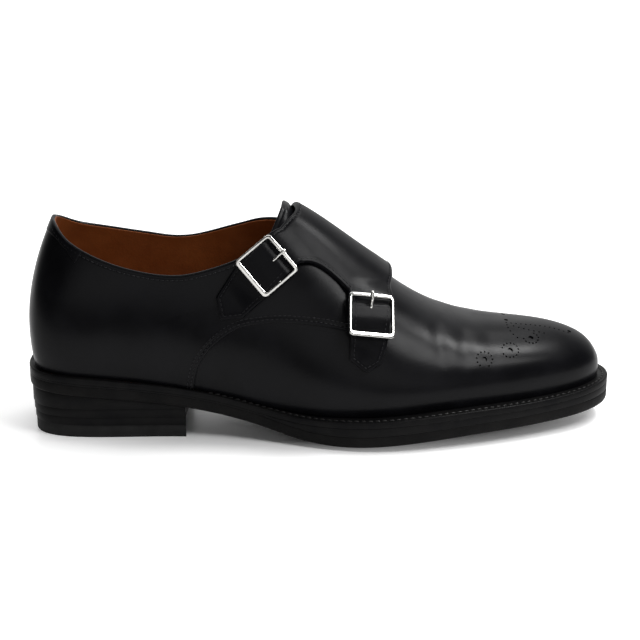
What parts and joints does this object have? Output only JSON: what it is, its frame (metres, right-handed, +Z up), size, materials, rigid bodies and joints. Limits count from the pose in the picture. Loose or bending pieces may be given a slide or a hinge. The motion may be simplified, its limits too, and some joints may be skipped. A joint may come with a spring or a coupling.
{
  "type": "monk strap shoe",
  "caption": "Right black leather double monk strap shoe with two buckled straps, medallion toe, welted leather sole and stacked heel, standing empty.",
  "frame": {"origin": "bottom centre of the bounding box, on the plane that heel and forefoot rest on", "axes": "+X from the heel to the toe, +Y towards the inner side of the right foot, +Z up"},
  "size_m": [0.306, 0.108, 0.1148],
  "materials": {
    "calf": "polished black",
    "lining": "matt tan",
    "sole_leather": "satin black edge dressing",
    "top_piece": "matt",
    "nickel": "polished"
  },
  "bodies": {
    "root": {"upper": "calf", "tongue": "calf", "saddle_strap": "calf", "insole": "lining", "welt": "sole_leather", "midsole": "sole_leather", "outsole": "sole_leather", "heel_wedge": "sole_leather", "heel_lift_2": "sole_leather", "heel_lift_1": "sole_leather", "top_piece": "top_piece", "buckle_upper": "nickel", "buckle_lower": "nickel", "prong_upper": "nickel", "prong_lower": "nickel"}
  },
  "joints": []
}
